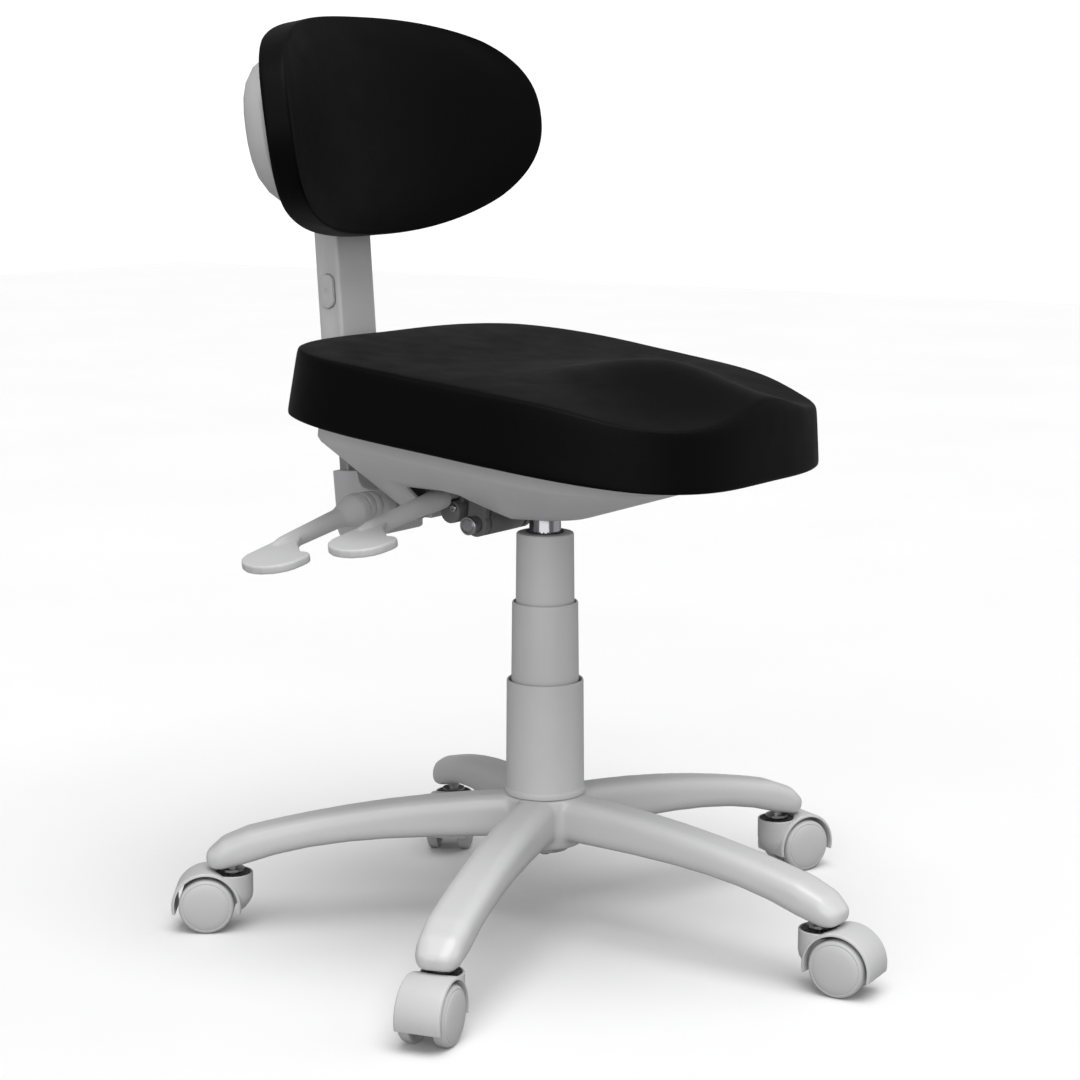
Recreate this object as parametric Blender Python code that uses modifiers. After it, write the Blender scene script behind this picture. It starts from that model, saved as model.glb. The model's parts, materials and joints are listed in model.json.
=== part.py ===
# Dentist stool: five-star base on twin-wheel casters, telescopic gas column,
# tilting saddle seat and a height-adjustable backrest. Metres, +Z up, the
# sitter faces -Y, and the floor is z = 0.
import math

import bmesh
import bpy
from mathutils import Vector

# Gap left between pieces that touch
GAP = 0.0003

# Base and casters
COLUMN_Y = 0.0273
CASTER_CIRCLE = 0.280
LEG_ANGLES = {"rear_right": 126, "right": 198, "front": 270, "left": 342, "rear_left": 54}
TRAIL_ANGLES = {"rear_right": 127, "right": 194.5, "front": 275, "left": 337, "rear_left": 208}
WHEEL_RADIUS = 0.025
WHEEL_SIDES = 22
WHEEL_INNER = 0.0100
WHEEL_OUTER = 0.0225
AXLE_OFFSET = 0.0225
AXLE_RADIUS = 0.003
AXLE_HEIGHT = WHEEL_RADIUS * math.cos(math.pi / WHEEL_SIDES)
HOOD_RADIUS = 0.0310
HOOD_HALF_WIDTH = 0.0198
WELL_RADIUS = 0.0284
NECK_RADIUS = 0.0182
NECK_TOP = 0.0518
STEM_RADIUS = 0.0055
STEM_TOP = 0.0785
LEG_TIP_BOTTOM = 0.0565
LEG_END = 0.3030
HUB_BOTTOM = 0.0785
HUB_TOP = 0.1255
HUB_RADIUS = 0.0370

# Column
TUBE_RADIUS = 0.0210
TUBE_BOTTOM = 0.0735
TUBE_TOP = 0.2445
CYLINDER_RADIUS = 0.0140
CYLINDER_BOTTOM = 0.2045
CYLINDER_TOP = 0.4095
ROD_RADIUS = 0.0050
LOWER_COVER_TOP = 0.2285
MIDDLE_COVER_TOP = 0.2985
UPPER_COVER_TOP = 0.3600

# Mechanism and levers
TILT_Y = 0.050
TILT_Z = 0.3665
SEAT_TILT = math.radians(7)
SHAFT_RADIUS = 0.007
SHAFT_HALF_LENGTH = 0.045
LEVER_PIVOT_X = -0.030
HEIGHT_LEVER_X = -0.050
HEIGHT_LEVER_Y = 0.074
HEIGHT_LEVER_Z = 0.3905
HEIGHT_LEVER_SLOPE = math.radians(8.2)
TILT_LEVER_X = -0.068
TILT_LEVER_Y = 0.154
TILT_LEVER_Z = 0.3755
TILT_LEVER_SLOPE = math.radians(9.8)
SPINDLE_RADIUS = 0.004
LEVER_ARM_RADIUS = 0.0082

# Seat, measured in the tilting seat's own level frame
SEAT_PLANE = 0.0885
SEAT_SHIFT = -0.0395
SEAT_FRONT = -0.231
SEAT_REAR = 0.195
SEAT_HALF_FRONT = 0.165
SEAT_HALF_REAR = 0.205
SEAT_EXPONENT = 3.35
SEAT_THICKNESS = 0.060
FRONT_FLARE = 0.008
REAR_FLARE = 0.002
SIDE_FLARE = 0.006
PAN_FRONT = -0.153
PAN_REAR = 0.158
PAN_HALF_FRONT = 0.126
PAN_HALF_REAR = 0.139
PAN_RIM = 0.021
BOARD_THICKNESS = 0.010

# Backrest
BACK_PIVOT_Y = 0.116
BACK_PIVOT_Z = 0.3735
POST_LEAN = math.radians(3.8)
POST_Y = 0.222
POST_Z = 0.5625
SLEEVE_WIDTH = 0.050
SLEEVE_DEPTH = 0.027
SLEEVE_BOTTOM = -0.135
SLEEVE_TOP = 0.112
BAR_WIDTH = 0.040
BAR_DEPTH = 0.010
BACK_Y = 0.191
BACK_Z = 0.7105
BACK_LEAN = 0.15
BACK_BEND = 0.286
BACK_HALF_WIDTH = 0.195
BACK_HALF_HEIGHT = 0.099
BACK_EXPONENT = 2.28

for old in list(bpy.data.objects):
    bpy.data.objects.remove(old, do_unlink=True)

PARTS = bpy.data.collections.new("dentist_stool")
CUTTERS = bpy.data.collections.new("cutters")
bpy.context.scene.collection.children.link(PARTS)
bpy.context.scene.collection.children.link(CUTTERS)


# ---------------------------------------------------------------- materials

def material(name, colour, roughness, metallic=0.0):
    made = bpy.data.materials.new(name)
    made.use_nodes = True
    shader = made.node_tree.nodes["Principled BSDF"]
    shader.inputs["Base Color"].default_value = (*colour, 1)
    shader.inputs["Roughness"].default_value = roughness
    shader.inputs["Metallic"].default_value = metallic
    return made


LIGHT_GREY = (0.60, 0.60, 0.61)
PAINT = (0.62, 0.62, 0.63)
STEEL = (0.45, 0.45, 0.46)
CHROME = (0.70, 0.70, 0.72)
DARK = (0.06, 0.06, 0.065)
BLACK = (0.012, 0.012, 0.013)
WOOD = (0.52, 0.38, 0.22)


# ------------------------------------------------------------ shape helpers

def empty(name, location, parent=None, rotation=(0, 0, 0)):
    made = bpy.data.objects.new(name, None)
    PARTS.objects.link(made)
    made.location = location
    made.rotation_euler = rotation
    made.parent = parent
    return made


def piece(name, mesh, parent, look, location=(0, 0, 0), rotation=(0, 0, 0)):
    """A named sub-part with its own material."""
    made = bpy.data.objects.new(name, mesh)
    PARTS.objects.link(made)
    made.parent = parent
    made.location = location
    made.rotation_euler = rotation
    mesh.materials.clear()
    mesh.materials.append(material(name, *look))
    return made


def cutter(name, mesh, location=(0, 0, 0), rotation=(0, 0, 0)):
    made = bpy.data.objects.new(name, mesh)
    CUTTERS.objects.link(made)
    made.location = location
    made.rotation_euler = rotation
    made.hide_render = True
    made.display_type = "WIRE"
    return made


def combined(name, base, joined=(), cut=(), rejoined=()):
    """One mesh: the base shape, joined to some shapes, cut by others, then joined again."""
    target = cutter(name + "_base", base)
    for operation, others in (("UNION", joined), ("DIFFERENCE", cut), ("UNION", rejoined)):
        for number, other in enumerate(others):
            tool = cutter(f"{name}_{operation.lower()}_{number}", other)
            step = target.modifiers.new(operation, "BOOLEAN")
            step.operation = operation
            step.use_self = True
            step.object = tool
    mesh = evaluated(target)
    mesh.name = name
    return mesh


def evaluated(obj):
    """The object's mesh with its modifiers applied, close vertices welded, pinholes closed."""
    bpy.context.view_layer.update()
    graph = bpy.context.evaluated_depsgraph_get()
    mesh = bpy.data.meshes.new_from_object(obj.evaluated_get(graph))
    bm = bmesh.new()
    bm.from_mesh(mesh)
    bmesh.ops.remove_doubles(bm, verts=bm.verts, dist=2e-6)
    open_edges = [edge for edge in bm.edges if len(edge.link_faces) == 1]
    if open_edges:
        bmesh.ops.holes_fill(bm, edges=open_edges, sides=4)
    bm.to_mesh(mesh)
    bm.free()
    return mesh


def moved(mesh, location=(0, 0, 0), rotation=(0, 0, 0)):
    """The mesh turned about the origin and then shifted."""
    made = mesh.copy()
    helper = bpy.data.objects.new("helper", made)
    helper.location = location
    helper.rotation_euler = rotation
    made.transform(helper.matrix_basis)
    bpy.data.objects.remove(helper)
    return made


def from_bmesh(name, bm):
    bmesh.ops.recalc_face_normals(bm, faces=bm.faces)
    mesh = bpy.data.meshes.new(name)
    bm.to_mesh(mesh)
    bm.free()
    return mesh


def rounded(mesh, width, segments=2, angle=40):
    """The mesh with its sharp edges bevelled."""
    helper = bpy.data.objects.new("helper", mesh)
    bpy.context.scene.collection.objects.link(helper)
    bevel = helper.modifiers.new("Bevel", "BEVEL")
    bevel.width = width
    bevel.segments = segments
    bevel.limit_method = "ANGLE"
    bevel.angle_limit = math.radians(angle)
    made = evaluated(helper)
    bpy.data.objects.remove(helper)
    return made


def box(low, high):
    """A box between two corners."""
    bm = bmesh.new()
    bmesh.ops.create_cube(bm, size=1)
    low = Vector(low)
    high = Vector(high)
    for vert in bm.verts:
        for axis in range(3):
            vert.co[axis] = low[axis] if vert.co[axis] < 0 else high[axis]
    return from_bmesh("box", bm)


def turned(profile, steps=28):
    """A profile of (radius, height) turned about Z; it runs down its outer side."""
    mesh = bpy.data.meshes.new("profile")
    bm = bmesh.new()
    verts = [bm.verts.new((radius, 0, height)) for radius, height in profile]
    for first, second in zip(verts, verts[1:]):
        bm.edges.new((first, second))
    if min(radius for radius, height in profile) > 0:
        bm.edges.new((verts[-1], verts[0]))
    bm.to_mesh(mesh)
    bm.free()
    helper = bpy.data.objects.new("helper", mesh)
    bpy.context.scene.collection.objects.link(helper)
    screw = helper.modifiers.new("Turn", "SCREW")
    screw.axis = "Z"
    screw.steps = steps
    screw.render_steps = steps
    screw.use_merge_vertices = True
    screw.merge_threshold = 1e-5
    made = evaluated(helper)
    bpy.data.objects.remove(helper)
    made.shade_smooth()
    made.set_sharp_from_angle(angle=math.radians(35))
    return made


def disc(radius, low, high, steps=28):
    """A solid cylinder about Z."""
    return turned([(0, high), (radius, high), (radius, low), (0, low)], steps)


def ring(inner, outer, low, high, steps=28):
    """A plain ring about Z."""
    return turned([(outer, high), (outer, low), (inner, low), (inner, high)], steps)


def plate(outline, low, high, axis="Z"):
    """A flat outline extruded along an axis: (x, y) for Z and (y, z) for X."""
    curve = bpy.data.curves.new("outline", "CURVE")
    curve.dimensions = "2D"
    curve.fill_mode = "BOTH"
    curve.extrude = (high - low) / 2
    spline = curve.splines.new("POLY")
    spline.points.add(len(outline) - 1)
    for point, (first, second) in zip(spline.points, outline):
        point.co = (first, second, 0, 1)
    spline.use_cyclic_u = True
    helper = bpy.data.objects.new("helper", curve)
    bpy.context.scene.collection.objects.link(helper)
    made = evaluated(helper)
    bpy.data.objects.remove(helper)
    if axis == "X":
        # outline x -> Y, outline y -> Z, thickness -> X
        made.transform(axis_swap())
    shift = (low + high) / 2
    made.transform(translation((shift, 0, 0) if axis == "X" else (0, 0, shift)))
    return made


def axis_swap():
    helper = bpy.data.objects.new("helper", None)
    helper.rotation_euler = (math.pi / 2, 0, math.pi / 2)
    matrix = helper.matrix_basis.copy()
    bpy.data.objects.remove(helper)
    return matrix


def translation(offset):
    helper = bpy.data.objects.new("helper", None)
    helper.location = offset
    matrix = helper.matrix_basis.copy()
    bpy.data.objects.remove(helper)
    return matrix


def superellipse(angle, exponent):
    """A point of the unit superellipse."""
    cosine = math.cos(angle)
    sine = math.sin(angle)
    power = 2 / exponent
    return (
        math.copysign(abs(cosine) ** power, cosine),
        math.copysign(abs(sine) ** power, sine),
    )


def pad_grid(segments, exponent):
    """A square grid of faces pushed out to fill the unit superellipse."""
    bm = bmesh.new()
    bmesh.ops.create_grid(bm, x_segments=segments, y_segments=segments, size=1)
    for vert in bm.verts:
        u = vert.co.x
        v = vert.co.y
        x = u * math.sqrt(1 - v * v / 2)
        y = v * math.sqrt(1 - u * u / 2)
        radius = math.hypot(x, y)
        if radius > 1e-9:
            reach = (abs(x / radius) ** exponent + abs(y / radius) ** exponent) ** (-1 / exponent)
            x *= reach
            y *= reach
        vert.co = (x, y, 0)
    return bm


def pad_solid(segments, exponent, place):
    """A closed pad: place(x, y, top) says where each grid point goes on either face."""
    bm = pad_grid(segments, exponent)
    bottom = list(bm.verts)
    lifted = bmesh.ops.extrude_face_region(bm, geom=list(bm.faces))
    top = [item for item in lifted["geom"] if isinstance(item, bmesh.types.BMVert)]
    for vert in bottom:
        vert.co = place(vert.co.x, vert.co.y, False)
    for vert in top:
        vert.co = place(vert.co.x, vert.co.y, True)
    return from_bmesh("pad", bm)


# ------------------------------------------------------------------ the base

def leg_mesh():
    """One arched arm along +X: a long box whose stations follow the arch."""
    bm = bmesh.new()
    bmesh.ops.create_cube(bm, size=1)
    long_edges = [e for e in bm.edges if abs(e.verts[0].co.x - e.verts[1].co.x) > 0.5]
    stations = 8
    bmesh.ops.subdivide_edges(bm, edges=long_edges, cuts=stations, use_grid_fill=True)
    for vert in bm.verts:
        share = vert.co.x + 0.5
        radius = 0.022 + (LEG_END - 0.022) * (1 - (1 - share) ** 1.35)
        crown = 0.1257 - 0.47 * radius**2
        sole = max(0.0867 - 4.8 * radius**4, LEG_TIP_BOTTOM)
        half = 0.0195 + 0.002 * share
        near_end = max(0.0, (radius - 0.272) / (LEG_END - 0.272))
        half *= math.sqrt(1 - 0.42 * near_end**2)
        crown -= 0.012 * near_end**2
        inward = 0.0015 if vert.co.z > 0 else 0
        height = crown if vert.co.z > 0 else sole
        side = math.copysign(half - inward, vert.co.y)
        vert.co = (radius, side, height)
    return rounded(from_bmesh("leg", bm), 0.0085, 2, 50)


def make_star_base(parent):
    leg = leg_mesh()
    hub = turned(
        [
            (0, HUB_TOP),
            (HUB_RADIUS - 0.001, HUB_TOP),
            (HUB_RADIUS, HUB_TOP - 0.001),
            (HUB_RADIUS + 0.001, 0.0945),
            (0.034, HUB_BOTTOM + 0.002),
            (0.032, HUB_BOTTOM),
            (0, HUB_BOTTOM),
        ]
    )
    legs = []
    sockets = [disc(TUBE_RADIUS + GAP, 0.04, 0.20)]
    for angle in LEG_ANGLES.values():
        turn = math.radians(angle)
        legs.append(moved(leg, rotation=(0, 0, turn)))
        place = (CASTER_CIRCLE * math.cos(turn), CASTER_CIRCLE * math.sin(turn), 0)
        sockets.append(moved(disc(STEM_RADIUS + GAP, 0.04, STEM_TOP + GAP, 12), place))
    mesh = combined("star_base", hub, legs, sockets)
    piece("star_base", mesh, parent, (PAINT, 0.38))


def make_column(parent):
    tube = turned(
        [
            (TUBE_RADIUS, TUBE_TOP),
            (TUBE_RADIUS, TUBE_BOTTOM),
            (ROD_RADIUS + GAP, TUBE_BOTTOM),
            (ROD_RADIUS + GAP, TUBE_BOTTOM + 0.0025),
            (0.019, TUBE_BOTTOM + 0.0025),
            (0.019, TUBE_TOP),
        ]
    )
    piece("column_tube", tube, parent, (STEEL, 0.45, 0.8))
    bush = turned(
        [
            (TUBE_RADIUS, TUBE_TOP + 0.0025),
            (TUBE_RADIUS, TUBE_TOP + GAP),
            (0.019 - GAP, TUBE_TOP + GAP),
            (0.019 - GAP, 0.1695),
            (CYLINDER_RADIUS + GAP, 0.1695),
            (CYLINDER_RADIUS + GAP, TUBE_TOP + 0.0025),
        ]
    )
    piece("column_bush", bush, parent, (DARK, 0.6))
    bearing_bottom = TUBE_BOTTOM + 0.0025 + GAP
    bearing = ring(0.0062, 0.018, bearing_bottom, bearing_bottom + 0.005, 18)
    piece("thrust_bearing", bearing, parent, (STEEL, 0.3, 1.0))
    lower = turned(
        [
            (0.0328, LOWER_COVER_TOP),
            (0.0338, LOWER_COVER_TOP - 0.0006),
            (0.0341, LOWER_COVER_TOP - 0.002),
            (0.0348, HUB_TOP + 0.006),
            (0.0360, HUB_TOP + 0.004),
            (0.0360, HUB_TOP + GAP),
            (0.0325, HUB_TOP + GAP),
            (0.0322, LOWER_COVER_TOP - 0.003),
            (0.0318, LOWER_COVER_TOP - 0.0015),
        ]
    )
    piece("cover_lower", lower, parent, (LIGHT_GREY, 0.45))


def make_sliding_covers(parent):
    middle = turned(
        [
            (0.0277, MIDDLE_COVER_TOP),
            (0.0288, MIDDLE_COVER_TOP - 0.0006),
            (0.0292, MIDDLE_COVER_TOP - 0.002),
            (0.0302, 0.2075),
            (0.0302, 0.2055),
            (0.0284, 0.2055),
            (0.0276, MIDDLE_COVER_TOP - 0.003),
            (0.0272, MIDDLE_COVER_TOP - 0.0015),
        ]
    )
    piece("cover_middle", middle, parent, (LIGHT_GREY, 0.45))
    upper = turned(
        [
            (0.0146, UPPER_COVER_TOP),
            (0.0232, UPPER_COVER_TOP),
            (0.0248, UPPER_COVER_TOP - 0.0006),
            (0.0253, UPPER_COVER_TOP - 0.002),
            (0.0262, 0.2725),
            (0.0262, 0.2705),
            (0.0244, 0.2705),
            (0.0235, UPPER_COVER_TOP - 0.0022),
            (0.0146, UPPER_COVER_TOP - 0.0022),
        ]
    )
    piece("cover_upper", upper, parent, (LIGHT_GREY, 0.45))


def make_gas_lift(parent):
    rod = turned(
        [
            (0, 0.2645),
            (0.0107, 0.2645),
            (0.0107, 0.2515),
            (ROD_RADIUS, 0.2515),
            (ROD_RADIUS, 0.0685),
            (0.0042, 0.0675),
            (0, 0.0675),
        ],
        16,
    )
    piece("piston_rod", rod, parent, (CHROME, 0.2, 1.0))
    clip = ring(ROD_RADIUS + GAP, 0.0085, TUBE_BOTTOM - 0.0022, TUBE_BOTTOM - 0.0007, 16)
    piece("rod_clip", clip, parent, (STEEL, 0.4, 1.0))
    cylinder = turned(
        [
            (0.0023, CYLINDER_TOP),
            (0.0130, CYLINDER_TOP),
            (CYLINDER_RADIUS, CYLINDER_TOP - 0.002),
            (CYLINDER_RADIUS, CYLINDER_BOTTOM + 0.001),
            (0.0132, CYLINDER_BOTTOM),
            (ROD_RADIUS + GAP, CYLINDER_BOTTOM),
            (ROD_RADIUS + GAP, CYLINDER_BOTTOM + 0.008),
            (0.0110, CYLINDER_BOTTOM + 0.008),
            (0.0110, CYLINDER_TOP - 0.018),
            (0.0023, CYLINDER_TOP - 0.015),
        ],
        24,
    )
    piece("gas_cylinder", cylinder, parent, (CHROME, 0.18, 1.0))
    pin = disc(0.0020, CYLINDER_TOP - 0.012, CYLINDER_TOP + 0.004, 16)
    piece("valve_pin", pin, parent, (STEEL, 0.3, 1.0))


# --------------------------------------------------------------- the casters

def hood_mesh():
    """A hooded caster body: the neck, the arched hood and the web between the wheels."""
    across = (math.pi / 2, 0, 0)
    axle_place = (AXLE_OFFSET, 0, AXLE_HEIGHT)

    def round_y(radius, half_width, steps=24):
        return moved(disc(radius, -half_width, half_width, steps), axle_place, across)

    drum = rounded(round_y(HOOD_RADIUS, HOOD_HALF_WIDTH), 0.0015, 1)
    neck = turned(
        [
            (0, NECK_TOP),
            (NECK_RADIUS - 0.0006, NECK_TOP),
            (NECK_RADIUS, NECK_TOP - 0.0008),
            (NECK_RADIUS, 0.0335),
            (NECK_RADIUS - 0.0035, 0.0250),
            (NECK_RADIUS - 0.0095, 0.0175),
            (0, 0.0150),
        ],
        20,
    )
    web = plate(
        [
            (-0.0100, 0.0455),
            (-0.0125, 0.0330),
            (0.0060, 0.0150),
            (0.0290, 0.0150),
            (0.0310, 0.0300),
            (0.0160, 0.0455),
        ],
        -0.0080,
        0.0080,
    )
    web.transform(across_matrix())
    below = box((-0.05, -0.05, -0.02), (0.09, 0.05, 0.0180))
    recess = disc(NECK_RADIUS - 0.0017, NECK_TOP - 0.0050, 0.08, 20)
    shell = combined("hood_shell", drum, [neck], [round_y(WELL_RADIUS, 0.03), below, recess])
    stem_bore = disc(STEM_RADIUS + GAP, 0.0290, 0.08, 12)
    axle_bore = round_y(AXLE_RADIUS + GAP, 0.03, 12)
    return combined("caster_hood", shell, [web], [stem_bore, axle_bore])


def across_matrix():
    """Turns an outline in (x, y) into one in (x, z), its thickness along Y."""
    helper = bpy.data.objects.new("helper", None)
    helper.rotation_euler = (math.pi / 2, 0, 0)
    matrix = helper.matrix_basis.copy()
    bpy.data.objects.remove(helper)
    return matrix


def wheel_mesh():
    """A wheel about its own Z, inner face down, with a blind bore for the axle.

    A side count of four times a whole number plus two leaves a flat at the bottom.
    """
    inner = WHEEL_INNER
    outer = WHEEL_OUTER
    bore = AXLE_RADIUS + GAP
    profile = [
        (0, outer + 0.0006),
        (0.0236, outer - 0.0026),
        (WHEEL_RADIUS, outer - 0.0058),
        (WHEEL_RADIUS, inner),
        (bore, inner),
        (bore, outer - 0.002),
        (0, outer - 0.002),
    ]
    return turned(profile, WHEEL_SIDES)


def make_casters(parent):
    hood = hood_mesh()
    stem = turned(
        [
            (0, STEM_TOP),
            (STEM_RADIUS - 0.001, STEM_TOP),
            (STEM_RADIUS, STEM_TOP - 0.001),
            (STEM_RADIUS, 0.0557),
            (0.0110, 0.0557),
            (0.0110, 0.0537),
            (STEM_RADIUS, 0.0537),
            (STEM_RADIUS, 0.0295),
            (0, 0.0295),
        ],
        12,
    )
    axle = disc(AXLE_RADIUS, -WHEEL_OUTER + 0.003, WHEEL_OUTER - 0.003, 12)
    wheel = wheel_mesh()
    for place, leg_angle in LEG_ANGLES.items():
        leg_turn = math.radians(leg_angle)
        spot = (CASTER_CIRCLE * math.cos(leg_turn), CASTER_CIRCLE * math.sin(leg_turn), 0)
        trail = math.radians(TRAIL_ANGLES[place])
        swivel = empty(f"swivel_{place}", spot, parent, (0, 0, trail))
        piece(f"caster_stem_{place}", stem.copy(), swivel, (STEEL, 0.3, 1.0))
        piece(f"caster_hood_{place}", hood.copy(), swivel, (LIGHT_GREY, 0.4))
        across = (math.pi / 2, 0, 0)
        hub = (AXLE_OFFSET, 0, AXLE_HEIGHT)
        piece(f"caster_axle_{place}", axle.copy(), swivel, (STEEL, 0.35, 1.0), hub, across)
        looks = (LIGHT_GREY, 0.4)
        piece(f"wheel_a_{place}", wheel.copy(), swivel, looks, hub, across)
        back = (-math.pi / 2, 0, 0)
        piece(f"wheel_b_{place}", wheel.copy(), swivel, looks, hub, back)


# -------------------------------------------------- the mechanism and levers

def along_x(mesh):
    """A shape made about Z laid along X, its top towards -X."""
    return moved(mesh, rotation=(0, -math.pi / 2, 0))


def make_mechanism(parent):
    """The cast block on the cylinder's cone, with lugs for the tilt shaft and the lever."""
    block = rounded(box((-0.026, 0.000, 0.3810), (0.026, 0.072, 0.4205)), 0.003)
    collar = disc(0.0235, 0.3800, 0.4200, 32)
    lug = moved(along_x(disc(0.0115, -0.0240, 0.0240, 24)), (0, TILT_Y, TILT_Z))
    web = box((-0.0225, TILT_Y - 0.0085, TILT_Z + 0.004), (0.0225, TILT_Y + 0.0085, 0.3915))
    pivot = (0, HEIGHT_LEVER_Y, HEIGHT_LEVER_Z)
    boss = moved(along_x(disc(0.0110, 0.012, 0.034, 20)), pivot)
    lower_boss = moved(along_x(disc(0.0105, 0.015, 0.042, 20)), (0, TILT_Y + 0.0225, TILT_Z + 0.010))
    seat_top = CYLINDER_TOP + 0.003
    cylinder_seat = turned(
        [
            (0, 0.440),
            (0.006, 0.440),
            (0.006, seat_top),
            (CYLINDER_RADIUS + GAP, seat_top),
            (CYLINDER_RADIUS + GAP, 0.360),
            (0, 0.360),
        ]
    )
    shaft_bore = moved(along_x(disc(SHAFT_RADIUS + GAP, -0.06, 0.06, 24)), (0, TILT_Y, TILT_Z))
    lever_bore = moved(along_x(disc(0.0065, 0.020, 0.06, 16)), pivot)
    cuts = [cylinder_seat, shaft_bore, lever_bore]
    mesh = combined("mechanism_block", block, [collar, lug, web, boss, lower_boss], cuts)
    piece("mechanism_block", mesh, parent, (DARK, 0.5, 0.3))
    half = SHAFT_HALF_LENGTH
    shaft = turned(
        [
            (SHAFT_RADIUS - 0.0005, half),
            (SHAFT_RADIUS, half - 0.0005),
            (SHAFT_RADIUS, -half + 0.0005),
            (SHAFT_RADIUS - 0.0005, -half),
            (0.0055, -half),
            (0.0055, half),
        ],
        18,
    )
    piece("tilt_shaft", along_x(shaft), parent, (STEEL, 0.35, 0.9), (0, TILT_Y, TILT_Z))


def paddle_outline():
    """The lever's flat end in its own plane: x runs outwards, y towards the sitter."""
    points = [(0.1250, -0.0085), (0.0900, -0.0080), (0.0900, 0.0080), (0.1020, 0.0140), (0.1120, 0.0240)]
    # the front lobe, then the round outer end back to the straight rear edge
    for step in range(5):
        angle = math.radians(207 - 28 * step)
        points.append((0.130 + 0.0105 * math.cos(angle), 0.0375 + 0.0105 * math.sin(angle)))
    for step in range(9):
        angle = math.radians(80 - 20 * step)
        points.append((0.1395 + 0.0280 * math.cos(angle), 0.0195 + 0.0280 * math.sin(angle)))
    return points


def lever_mesh(flare, root, slope):
    """A moulded paddle lever on a steel spindle, reaching from its pivot towards -X."""
    paddle = rounded(plate(paddle_outline(), -0.0045, 0.0030), 0.0022, 1, 50)
    arm = turned(
        [
            (0, 0.118),
            (0.0050, 0.116),
            (LEVER_ARM_RADIUS - 0.001, 0.105),
            (LEVER_ARM_RADIUS, 0.060),
            (LEVER_ARM_RADIUS + 0.0006, 0.030),
            (flare, 0.010),
            (flare, 0.000),
            (0, 0.000),
        ],
        20,
    )
    plastic = combined("lever_plastic", moved(arm, rotation=(0, math.pi / 2, 0)), [paddle])
    plastic = moved(plastic, rotation=(0, slope, 0))
    plastic = moved(plastic, (-root, 0, 0), (0, 0, math.pi))
    spindle = along_x(disc(SPINDLE_RADIUS, -0.006, root + 0.006, 16))
    return combined("lever", plastic, [spindle])


def make_height_lever(parent):
    mesh = lever_mesh(0.0100, LEVER_PIVOT_X - HEIGHT_LEVER_X, HEIGHT_LEVER_SLOPE)
    at = (LEVER_PIVOT_X, HEIGHT_LEVER_Y, HEIGHT_LEVER_Z)
    piece("height_lever", mesh, parent, (LIGHT_GREY, 0.42), at)


def make_tilt_lever(parent):
    mesh = lever_mesh(0.0150, LEVER_PIVOT_X - TILT_LEVER_X, TILT_LEVER_SLOPE)
    at = (LEVER_PIVOT_X, TILT_LEVER_Y, TILT_LEVER_Z)
    piece("tilt_lever", mesh, parent, (LIGHT_GREY, 0.42), at)


# ------------------------------------------------------------------ the seat

def seat_half_width(y):
    share = (y - SEAT_FRONT) / (SEAT_REAR - SEAT_FRONT)
    return SEAT_HALF_FRONT + (SEAT_HALF_REAR - SEAT_HALF_FRONT) * share


def saddle_height(x, y):
    """Height of the cushion's top above its underside; x and y run from -1 to 1."""
    edge = SEAT_THICKNESS - 0.010 * math.exp(-(((y + 0.85) / 0.28) ** 2))
    rise = min(1.0, max(0.0, (0.10 - y) / 0.65))
    pommel = 0.025 * (3 * rise**2 - 2 * rise**3) * math.exp(-((x / 0.36) ** 2))
    dish = 0.007 * (1 - x * x) * math.exp(-(((y - 0.35) / 0.42) ** 2))
    return edge + pommel - dish - 0.004 * max(0.0, y) ** 3


def seat_point(x, y, top):
    middle = (SEAT_FRONT + SEAT_REAR) / 2
    half = (SEAT_REAR - SEAT_FRONT) / 2
    along = middle + half * y
    across = seat_half_width(along)
    height = 0
    if top:
        along -= y * (REAR_FLARE if y > 0 else FRONT_FLARE)
        across -= SIDE_FLARE
        height = saddle_height(x, y)
    return (across * x, along + SEAT_SHIFT, SEAT_PLANE + height)


def pan_outline(front, rear, half_front, half_rear, count=40):
    """A tapered oval, fuller at the rear corners; x across and y along."""
    points = []
    for step in range(count):
        angle = 2 * math.pi * step / count
        x, y = superellipse(angle, 10.0 if angle < math.pi else 3.0)
        along = (front + rear) / 2 + (rear - front) / 2 * y
        share = (along - front) / (rear - front)
        points.append(((half_front + (half_rear - half_front) * share) * x, along))
    return points


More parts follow.
